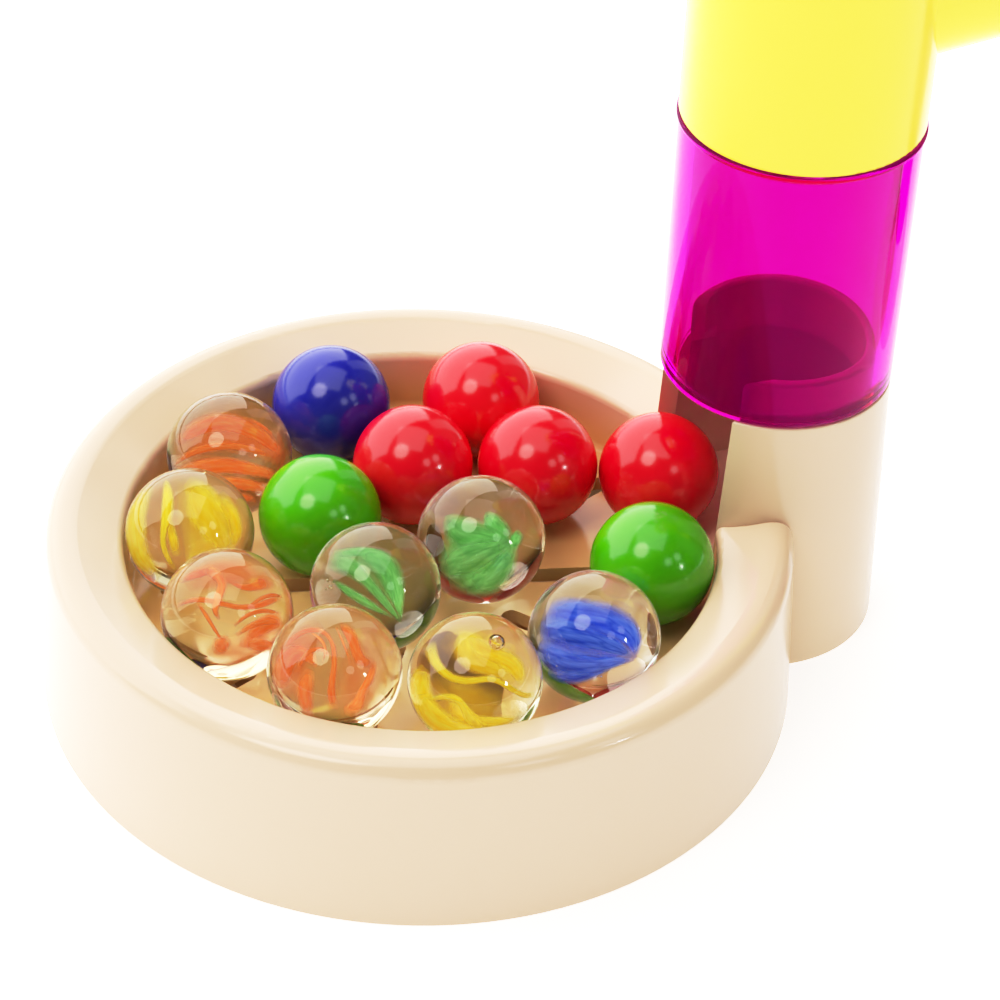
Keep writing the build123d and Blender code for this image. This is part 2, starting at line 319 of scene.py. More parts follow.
@dataclass(frozen=True)
class Finish:
    """What every finish has.

    Attributes:
        effects: The shared effects.
        colour: Its colour.
        roughness: Its roughness where it isn't worn.
        ior: How strongly it bends and mirrors light.
        lines: How its hairlines lie.
        specks: How its specks lie.
        line_rough: How much rougher a worn place is.
        line_depth: How deep a hairline is cut, as a share of the relief.
        relief: How deep its relief is.
        relief_strength: How much of the relief shows.
    """

    effects: Effects
    colour: Colour
    roughness: float
    ior: float = 1.5
    lines: Marks = Marks(100.0, 0.1, 0.02)
    specks: Marks = Marks(300.0, 0.02, 0.1)
    line_rough: float = 0.2
    line_depth: float = 1.0
    relief: float = 0.01 * MM
    relief_strength: float = 0.35

    def open(
        self, name: str, centre: Vector | None = None
    ) -> tuple[bpy.types.Material, Bench, Socket, bpy.types.Node]:
        """Starts a material.

        Args:
            name: The material's name.
            centre: Where its pattern is centred, in the row frame.

        Returns:
            The material, its bench, the coordinates that its patterns read, and its Principled shader.
        """
        material = bpy.data.materials.new(name)
        material.use_nodes = True
        material.node_tree.nodes.clear()
        bench = Bench(material.node_tree)
        where = bench.put("TexCoord").outputs["Object"]
        if centre is not None:
            where = bench.put("Mapping", Vector=where, Location=tuple(-centre)).outputs["Vector"]
        shader = bench.put("BsdfPrincipled", Roughness=self.roughness, IOR=self.ior)
        bench.feed(shader.inputs["Base Color"], self.colour)
        out = bench.put("OutputMaterial")
        bench.tree.links.new(shader.outputs["BSDF"], out.inputs["Surface"])
        return material, bench, where, shader

    def marks(self, bench: Bench, effect: Effect, where: Socket, marks: Marks) -> Socket:
        """Places hairlines or specks.

        Args:
            bench: The bench of the material.
            effect: Which of the two.
            where: The coordinates.
            marks: How they lie.

        Returns:
            The mask, 1 on a mark.
        """
        node = self.effects.place(
            bench, effect, Vector=where, Scale=marks.scale, Share=marks.share, Size=marks.size
        )
        return node.outputs["Mask"]

    def worn(self, bench: Bench, where: Socket) -> Socket:
        """The mask of both kinds of wear, hairlines and specks."""
        lines = self.marks(bench, Effect.HAIRLINES, where, self.lines)
        return bench.compute("MAXIMUM", lines, self.marks(bench, Effect.SPECKS, where, self.specks))

    def roughen(self, bench: Bench, shader: bpy.types.Node, mask: Socket, base: object) -> None:
        """Makes a shader rougher where a mask is 1.

        Args:
            bench: The bench of the material.
            shader: The Principled shader.
            mask: The mask.
            base: The roughness elsewhere, as a value or a socket.
        """
        bench.feed(shader.inputs["Roughness"], bench.compute("MULTIPLY_ADD", mask, self.line_rough, base))

    def emboss(self, bench: Bench, shader: bpy.types.Node, height: Socket) -> None:
        """Gives a shader the relief of a height.

        Args:
            bench: The bench of the material.
            shader: The Principled shader.
            height: The height, 0 to 1.
        """
        bump = bench.put("Bump", Height=height, Distance=self.relief, Strength=self.relief_strength)
        bench.feed(shader.inputs["Normal"], bump.outputs["Normal"])


@dataclass(frozen=True)
class Bowl:
    """Where the inside of the bowl is: its middle along X, its radius, and where its painted shade ends."""

    middle: float
    radius: float
    bottom: float
    top: float

    def painted_shade_share(self, bench: Bench, where: Socket) -> Socket:
        """How deep in the bowl a point is, where a warmer, darker colour is painted in as the bowl's shade.

        Args:
            bench: The bench of the material.
            where: The coordinates.

        Returns:
            The share, 1 deep in the bowl.
        """
        flat = bench.put("Mapping", Vector=where, Scale=(1.0, 1.0, 0.0), Location=(-self.middle, 0.0, 0.0))
        away = bench.put("VectorMath", {"operation": "LENGTH"})
        bench.feed(away.inputs[0], flat.outputs["Vector"])
        within = bench.spread(away.outputs["Value"], self.radius, self.radius + 1 * MM, 1.0, 0.0)
        height = bench.put("SeparateXYZ", Vector=where).outputs["Z"]
        return bench.compute("MULTIPLY", within, bench.spread(height, self.bottom, self.top, 1.0, 0.0))


@dataclass(frozen=True)
class MouldedPlastic(Finish):
    """Opaque moulded plastic with orange peel, hairlines and a little dust, and where asked a painted shade
    deep in a bowl and a faint painted glow.
    """

    shade: Colour = (0.5, 0.5, 0.5)
    shade_share: float = 0.35
    dust: Colour = paint(120, 95, 70)
    dust_cover: float = 0.75
    # How strongly the plastic glows in its own colour, as painted light.
    glow: float = 0.0
    bowl_shade: Colour = (0.5, 0.5, 0.5)
    bowl: Bowl | None = None
    cloud_scale: float = 22.0
    cloud_rough: float = 0.05
    peel_scale: float = 1300.0
    peel_height: float = 0.5
    lines: Marks = Marks(95.0, 0.1, 0.02)
    specks: Marks = Marks(230.0, 0.015, 0.07)
    line_rough: float = 0.18

    def material(self, name: str) -> bpy.types.Material:
        """Builds the finish.

        Args:
            name: The material's name.

        Returns:
            The material.
        """
        material, bench, where, shader = self.open(name)
        skin = self.effects.place(
            bench, Effect.MOULD_SKIN, Vector=where, Cloud_Scale=self.cloud_scale, Peel_Scale=self.peel_scale
        )
        cloud, peel = skin.outputs["Cloud"], skin.outputs["Peel"]
        lines = self.marks(bench, Effect.HAIRLINES, where, self.lines)
        specks = self.marks(bench, Effect.SPECKS, where, self.specks)
        tone = bench.blend(bench.compute("MULTIPLY", cloud, self.shade_share), self.colour, self.shade)
        # Painted shade: deep inside the bowl the colour turns warmer and darker, as the shaded inside of the
        # bowl looks.
        if self.bowl:
            tone = bench.blend(self.bowl.painted_shade_share(bench, where), tone, self.bowl_shade)
        tone = bench.blend(bench.compute("MULTIPLY", specks, self.dust_cover), tone, self.dust)
        bench.feed(shader.inputs["Base Color"], tone)
        base = bench.compute("MULTIPLY_ADD", cloud, self.cloud_rough, self.roughness)
        self.roughen(bench, shader, lines, base)
        bumps = bench.compute("ADD", bench.compute("MULTIPLY", peel, self.peel_height), specks)
        self.emboss(bench, shader, bench.compute("MULTIPLY_ADD", lines, -self.line_depth, bumps))
        # Painted light: the plastic glows faintly in its own colour, though it is no lamp.
        if self.glow:
            bench.feed(shader.inputs["Emission Color"], tone)
            shader.inputs["Emission Strength"].default_value = self.glow
        return material


@dataclass(frozen=True)
class ClearPlastic(Finish):
    """See-through moulded plastic, with a faint painted glow in its colour that stands in for light inside
    it.
    """

    ior: float = 1.3
    sheen: Colour = (1.0, 1.0, 1.0)
    painted_glow: Colour = (0.0, 0.0, 0.0)
    cloud_scale: float = 30.0
    cloud_dark: float = 0.9
    peel_scale: float = 500.0
    lines: Marks = Marks(110.0, 0.08, 0.02)
    line_rough: float = 0.12
    line_depth: float = 0.4
    relief: float = 0.004 * MM
    relief_strength: float = 0.4

    def material(self, name: str) -> bpy.types.Material:
        """Builds the finish.

        Args:
            name: The material's name.

        Returns:
            The material.
        """
        material, bench, where, shader = self.open(name)
        lines = self.marks(bench, Effect.HAIRLINES, where, self.lines)
        skin = self.effects.place(
            bench, Effect.MOULD_SKIN, Vector=where, Cloud_Scale=self.cloud_scale, Peel_Scale=self.peel_scale
        )
        deep = tuple(part * self.cloud_dark for part in self.colour)
        bench.feed(shader.inputs["Base Color"], bench.blend(skin.outputs["Cloud"], self.colour, deep))
        self.roughen(bench, shader, lines, self.roughness)
        shader.inputs["Transmission Weight"].default_value = 1.0
        shader.inputs["Specular Tint"].default_value = (*self.sheen, 1.0)
        # Painted light: a faint glow in the plastic's colour brightens the inside of the tube.
        shader.inputs["Emission Color"].default_value = (*self.painted_glow, 1.0)
        shader.inputs["Emission Strength"].default_value = 1.0
        height = bench.compute("MULTIPLY_ADD", lines, -self.line_depth, skin.outputs["Peel"])
        self.emboss(bench, shader, height)
        return material


@dataclass(frozen=True)
class EnamelGlass(Finish):
    """Opaque coloured glass of a marble, with faint streaks under a polished skin."""

    ior: float = 1.58
    shade: Colour = (0.1, 0.1, 0.1)
    shade_share: float = 0.5
    streak: Colour = (1.0, 1.0, 1.0)
    streak_share: float = 0.15
    streak_scale: float = 150.0
    twist: float = 160.0
    tilt: Turn = (0.0, 0.0, 0.0)
    lines: Marks = Marks(240.0, 0.12, 0.022)
    specks: Marks = Marks(420.0, 0.02, 0.1)

    def material(self, name: str, centre: Vector) -> bpy.types.Material:
        """Builds the finish.

        Args:
            name: The material's name.
            centre: The marble's centre.

        Returns:
            The material.
        """
        material, bench, where, shader = self.open(name, centre)
        turned = bench.put("Mapping", Vector=where, Rotation=self.tilt).outputs["Vector"]
        swirl = self.effects.place(
            bench, Effect.STREAKS, Vector=turned, Scale=self.streak_scale, Twist=self.twist
        )
        cloud, streak = swirl.outputs["Cloud"], swirl.outputs["Streak"]
        worn = self.worn(bench, turned)
        tone = bench.blend(bench.compute("MULTIPLY", cloud, self.shade_share), self.colour, self.shade)
        tone = bench.blend(bench.compute("MULTIPLY", streak, self.streak_share), tone, self.streak)
        bench.feed(shader.inputs["Base Color"], tone)
        self.roughen(bench, shader, worn, self.roughness)
        self.emboss(bench, shader, bench.compute("SUBTRACT", cloud, worn))
        return material


@dataclass(frozen=True)
class ClearGlass(Finish):
    """The clear glass of a marble, or the air of a bubble in it."""

    lines: Marks = Marks(260.0, 0.08, 0.02)
    specks: Marks = Marks(380.0, 0.03, 0.09)
    line_rough: float = 0.25
    relief: float = 0.006 * MM
    relief_strength: float = 0.4

    def material(self, name: str, centre: Vector) -> bpy.types.Material:
        """Builds the finish.

        Args:
            name: The material's name.
            centre: The marble's centre.

        Returns:
            The material.
        """
        material, bench, where, shader = self.open(name, centre)
        worn = self.worn(bench, where)
        self.roughen(bench, shader, worn, self.roughness)
        shader.inputs["Transmission Weight"].default_value = 1.0
        self.emboss(bench, shader, bench.compute("SUBTRACT", 1.0, worn))
        return material


@dataclass(frozen=True)
class VaneGlass(Finish):
    """Coloured glass drawn out into a thin sheet inside a marble, thinner towards its edges, with a faint
    painted glow that brightens it.
    """

    ior: float = 1.05
    deep: Colour = (0.2, 0.2, 0.2)
    # How strongly the sheet glows in its own tone, as painted light.
    glow: float = 0.3
    grain_across: float = 2.2
    grain_along: float = 0.5
    grain_scale: float = 1.5
    cloud_scale: float = 260.0
    fade_spread: float = 0.9
    fade_start: float = -0.25

    def material(self, name: str, centre: Vector) -> bpy.types.Material:
        """Builds the finish.

        Args:
            name: The material's name.
            centre: The marble's centre.

        Returns:
            The material.
        """
        material, bench, where, shader = self.open(name, centre)
        across, along, body = (
            bench.put("Attribute", {"attribute_name": layer}).outputs["Fac"] for layer in VANE_LAYERS
        )
        wide = bench.compute("MULTIPLY", across, self.grain_across)
        thread = bench.put("CombineXYZ", X=wide, Y=bench.compute("MULTIPLY", along, self.grain_along))
        grain = bench.put(
            "TexNoise", Vector=thread.outputs["Vector"], Scale=self.grain_scale, Detail=2.5, Distortion=0.5
        )
        cloud = bench.put("TexNoise", Vector=where, Scale=self.cloud_scale, Detail=3.0).outputs["Fac"]
        tone = bench.blend(bench.spread(grain.outputs["Fac"], 0.25, 0.75), self.deep, self.colour)
        bench.feed(shader.inputs["Base Color"], tone)
        fade = bench.compute("MULTIPLY_ADD", cloud, self.fade_spread, self.fade_start)
        thin = bench.spread(bench.compute("ABSOLUTE", across), fade, 1.0, 1.0, 0.0)
        bench.feed(shader.inputs["Alpha"], bench.compute("MULTIPLY", thin, body))
        # Painted light: the sheet glows faintly in its own tone, so it looks lit through the glass.
        bench.feed(shader.inputs["Emission Color"], tone)
        shader.inputs["Emission Strength"].default_value = self.glow
        return material


@dataclass(frozen=True)
class Softbox:
    """A lit panel that faces the object, placed by compass from the tray's centre.

    Attributes:
        name: Its name.
        bearing: Where it stands, in degrees. 0 is along +Y and 90 is along +X.
        height: How high it stands, in degrees above the horizon.
        wide: How wide it looks from the tray, in degrees.
        high: How high it looks from the tray, in degrees.
        glow: How bright it is.
        colour: Its colour.
        distance: How far away it stands, in metres.
        shape: Its outline.
    """

    name: str
    bearing: float
    height: float
    wide: float
    high: float
    glow: float
    colour: Colour = (1.0, 1.0, 1.0)
    distance: float = 1.5
    shape: str = "RECTANGLE"

    def across(self, degrees: float) -> float:
        """The length at the panel that looks so many degrees wide from the tray."""
        return 2 * self.distance * math.tan(math.radians(degrees / 2))

    def build(self, aim: Vector) -> bpy.types.Object:
        """Hangs the light.

        Args:
            aim: The point that it faces.

        Returns:
            The light.
        """
        bearing, height = math.radians(self.bearing), math.radians(self.height)
        level = Vector((math.sin(bearing), math.cos(bearing), 0.0))
        away = level * math.cos(height) + Vector((0.0, 0.0, math.sin(height)))
        data = bpy.data.lights.new(self.name, "AREA")
        data.shape = self.shape
        data.size = self.across(self.wide)
        data.size_y = self.across(self.high)
        data.energy = self.glow * math.pi * data.size * data.size_y
        data.color = self.colour
        light = bpy.data.objects.new(self.name, data)
        bpy.context.scene.collection.objects.link(light)
        facing = away.to_track_quat("Z", "Y").to_matrix().to_4x4()
        light.matrix_world = Matrix.Translation(aim + away * self.distance) @ facing
        light.visible_camera = False
        return light


@dataclass
class Studio:
    """The floor, the lights and the camera.

    The floor is lit from below, apart from under the part, where a warm brown painted shade and a faint
    painted glow stand in for the dim light there.
    That place ends a little way inside the part's outline, with a soft edge. The curve pairs an amount of
    light with how bright it is shown, and curve_white is the light that is shown as white.
    """

    aim: Vector = field(default_factory=lambda: Vector((-0.045, 0.0, 0.02)))
    floor_half: float = 6.0
    floor_white: Colour = (0.9, 0.9, 0.9)
    floor_glow: Colour = (0.9, 0.9, 0.9)
    floor_roughness: float = 0.6
    # The colour and the glow under the parts are painted shade and painted light.
    under: Colour = paint(196, 158, 112)
    under_painted_glow: Colour = (0.14, 0.085, 0.045)
    under_inset: float = 3 * MM
    under_edge: float = 2 * MM
    sky: float = 0.12
    lens: float = 113.53
    sensor: float = 36.0
    eye: tuple[float, float, float] = (-0.16567, -0.28776, 0.26599)
    bearing: float = 21.6
    pitch: float = 38.1
    roll: float = 2.55
    curve_white: float = 1.85
    curve: tuple[tuple[float, float], ...] = (
        (0.1, 0.055), (0.2, 0.12), (0.35, 0.235), (0.5, 0.385), (0.65, 0.54),
        (0.8, 0.655), (1.0, 0.77), (1.2, 0.85), (1.45, 0.925), (1.65, 0.97),
    )
    panels: tuple[Softbox, ...] = (
        Softbox("window", -24.0, 32.0, 102.0, 58.0, 3.5),
        Softbox("ceiling", -60.0, 86.0, 50.0, 50.0, 2.2),
        Softbox("side_strip", 53.0, 22.0, 16.0, 46.0, 1.0),
        Softbox("side_fill", 90.0, 28.0, 50.0, 50.0, 0.2),
        Softbox("warm_key", -115.0, 57.0, 27.0, 28.0, 5.3, (1.0, 0.93, 0.86), shape="ELLIPSE"),
        Softbox("front_lamp", 143.0, 20.0, 4.5, 6.5, 30.0, shape="ELLIPSE"),
        Softbox("front_fill", 141.0, 37.0, 12.0, 14.0, 2.6, shape="ELLIPSE"),
        Softbox("front_far", 166.0, 38.0, 14.0, 14.0, 2.5, shape="ELLIPSE"),
    )

    def front(self) -> Matrix:
        """Which way is across, up and near, as seen from the front.

        Returns:
            The three directions as the columns of a turn.
        """
        bearing, pitch, roll = (math.radians(angle) for angle in (self.bearing, self.pitch, self.roll))
        level = Vector((math.sin(bearing), math.cos(bearing), 0.0))
        forward = level * math.cos(pitch) - Vector((0.0, 0.0, math.sin(pitch)))
        right = Vector((math.cos(bearing), -math.sin(bearing), 0.0))
        down = forward.cross(right)
        across = right * math.cos(roll) - down * math.sin(roll)
        upward = -(right * math.sin(roll) + down * math.cos(roll))
        return Matrix((across, upward, -forward)).transposed()

    def camera(self) -> bpy.types.Object:
        """Sets the camera up.

        Returns:
            The camera.
        """
        data = bpy.data.cameras.new("camera")
        data.lens = self.lens
        data.sensor_width = self.sensor
        camera = bpy.data.objects.new("camera", data)
        bpy.context.scene.collection.objects.link(camera)
        camera.matrix_world = Matrix.Translation(Vector(self.eye)) @ self.front().to_4x4()
        bpy.context.scene.camera = camera
        return camera

    def floor(self) -> bpy.types.Object:
        """Lays the pale floor.

        Returns:
            The floor.
        """
        mesh = bpy.data.meshes.new("floor")
        shape = bmesh.new()
        bmesh.ops.create_grid(shape, x_segments=1, y_segments=1, size=self.floor_half)
        bmesh.ops.translate(shape, verts=shape.verts, vec=(0.0, 0.0, -FLOOR_DROP))
        shape.to_mesh(mesh)
        shape.free()
        floor = bpy.data.objects.new("floor", mesh)
        bpy.context.scene.collection.objects.link(floor)
        mesh.materials.append(self.floor_finish())
        return floor

    def floor_finish(self) -> bpy.types.Material:
        """The floor's finish: white acrylic lit from below, apart from where the part stands on it, which has
        a painted shade and a faint painted glow.

        Returns:
            The material.
        """
        material = bpy.data.materials.new("floor_white")
        material.use_nodes = True
        bench = Bench(material.node_tree)
        shader = material.node_tree.nodes["Principled BSDF"]
        shader.inputs["Roughness"].default_value = self.floor_roughness
        where = bench.put("TexCoord").outputs["Object"]
        bare = 1.0
        for node in ("catch_tray", "outlet_column", "far_foot"):
            low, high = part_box(node)
            radius = (high.y - low.y) / 2
            middle = low.x + radius if node == "catch_tray" else high.x - radius
            away = bench.put("VectorMath", {"operation": "DISTANCE"})
            bench.feed(away.inputs[0], where)
            bench.feed(away.inputs[1], (middle, 0.0, -FLOOR_DROP))
            inner = radius - self.under_inset
            clear = bench.spread(away.outputs["Value"], inner, inner + self.under_edge)
            bare = bench.compute("MULTIPLY", clear, bare)
        # Painted shade and painted light: under the parts the floor is warm brown with a faint warm glow, as
        # the shaded floor looks through the slots.
        bench.feed(shader.inputs["Base Color"], bench.blend(bare, self.under, self.floor_white))
        bench.feed(shader.inputs["Emission Color"], bench.blend(bare, self.under_painted_glow, self.floor_glow))
        shader.inputs["Emission Strength"].default_value = 1.0
        return material

    def world(self) -> None:
        """Sets the even light from all round, which the camera sees as white."""
        world = bpy.data.worlds.new("studio")
        world.use_nodes = True
        bpy.context.scene.world = world
        bench = Bench(world.node_tree)
        background = world.node_tree.nodes["Background"]
        background.inputs["Color"].default_value = (1.0, 1.0, 1.0, 1.0)
        seen = bench.put("LightPath").outputs["Is Camera Ray"]
        bench.feed(background.inputs["Strength"], bench.compute("MAXIMUM", seen, self.sky))

    def exposure_curve(self) -> None:
        """Rolls the highlights off softly, so that pale plastic keeps its colour under strong light."""
        view = bpy.context.scene.view_settings
        view.view_transform = "Standard"
        view.use_curve_mapping = True
        mapping = view.curve_mapping
        mapping.white_level = (self.curve_white,) * 3
        *_, combined = mapping.curves
        for light, shown in self.curve:
            combined.points.new(light / self.curve_white, shown)
        mapping.update()

    def build(self) -> None:
        """Builds all of it."""
        self.floor()
        self.world()
        for panel in self.panels:
            panel.build(self.aim)
            LOG.info("studio: softbox %s", panel.name)
        self.camera()
        self.exposure_curve()
        LOG.info("studio: floor, sky, camera and exposure curve")


def dress(node: str, material: bpy.types.Material) -> bpy.types.Object:
    """Gives a CAD node its finish.

    Args:
        node: The node's name.
        material: The finish.

    Returns:
        The node's object.
    """
    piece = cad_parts[node]
    piece.data.materials.clear()
    piece.data.materials.append(material)
    LOG.info("%s: dressed in %s", node, material.name)
    return piece


@dataclass
class Towers:
    """The tray, the columns, the tubes, the chute and the funnel."""

    effects: Effects
    wall_width: float = 10.5 * MM
    painted_shade_bottom: float = 13 * MM
    painted_shade_top: float = 1 * MM

    def bowl(self) -> Bowl:
        """Where the inside of the tray's bowl is.

        Returns:
            Its place.
        """
        low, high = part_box("catch_tray")
        middle = low.x + (high.y - low.y) / 2
        return Bowl(middle, high.y - self.wall_width, low.z + self.painted_shade_bottom, high.z - self.painted_shade_top)

    def build(self) -> None:
        """Dresses every moulded part."""
        # The cream is given a painted shade deep in the bowl.
        cream = MouldedPlastic(
            self.effects, paint(230, 204, 176), 0.13,
            shade=paint(227, 199, 168), bowl_shade=paint(229, 188, 128), bowl=self.bowl(),
        ).material("cream_plastic")
        # The yellow is given a faint painted glow.
        yellow = MouldedPlastic(
            self.effects, paint(250, 229, 70), 0.15,
            shade=paint(249, 224, 56), specks=Marks(230.0, 0.004, 0.07), glow=0.3,
        ).material("yellow_plastic")
        purple = ClearPlastic(
            self.effects, (0.66, 0.0, 0.47), 0.03, sheen=(0.9, 0.02, 0.9), painted_glow=(0.05, 0.0, 0.022)
        ).material("clear_purple")
        for node in ("catch_tray", "outlet_column", "far_foot"):
            dress(node, cream)
        dress("chute", yellow)
        for node in ("purple_tube", "far_tube_lower", "far_tube_upper", "start_funnel"):
            dress(node, purple)


@dataclass(frozen=True)
class GlassMix:
    """The colours of a glass marble: its sheets where they are bright or deep, and its clear glass."""

    bright: Colour
    deep: Colour
    clear: Colour


class GlassColour(Enum):
    """The colours that the glass marbles come in."""

    ORANGE = GlassMix(paint(255, 172, 105), paint(248, 132, 62), (1.0, 0.93, 0.77))
    YELLOW = GlassMix(paint(252, 232, 90), paint(242, 208, 34), (1.0, 0.98, 0.8))
    GREEN = GlassMix(paint(165, 222, 145), paint(112, 184, 96), (0.95, 1.0, 0.95))
    BLUE = GlassMix(paint(122, 162, 250), paint(40, 78, 208), (0.95, 0.97, 1.0))


Knot = tuple[float, float, float, float]


@dataclass(frozen=True)
class Vane:
    """One sheet of coloured glass inside a marble.

    Attributes:
        knots: How far across, up and near the sheet's middle is, and how wide the sheet is there, all in
            radii of the marble, as they look through the glass from the front.
        body: How solid the sheet is.
        lean: How far it turns away from the front, in degrees.
        cup: How deep it is curled, in its own widths.
    """

    knots: tuple[Knot, ...]
    body: float = 0.9
    lean: float = 25.0
    cup: float = 0.18


@dataclass(frozen=True)
class Bubble:
    """A bubble of air: where it is and its radius, in radii of the marble, as they look through the glass."""

    across: float
    up: float
    near: float
    radius: float


@dataclass(frozen=True)
class Swirl:
    """What is inside one glass marble."""

    node: str
    colour: GlassColour
    vanes: tuple[Vane, ...]
    bubbles: tuple[Bubble, ...] = ()


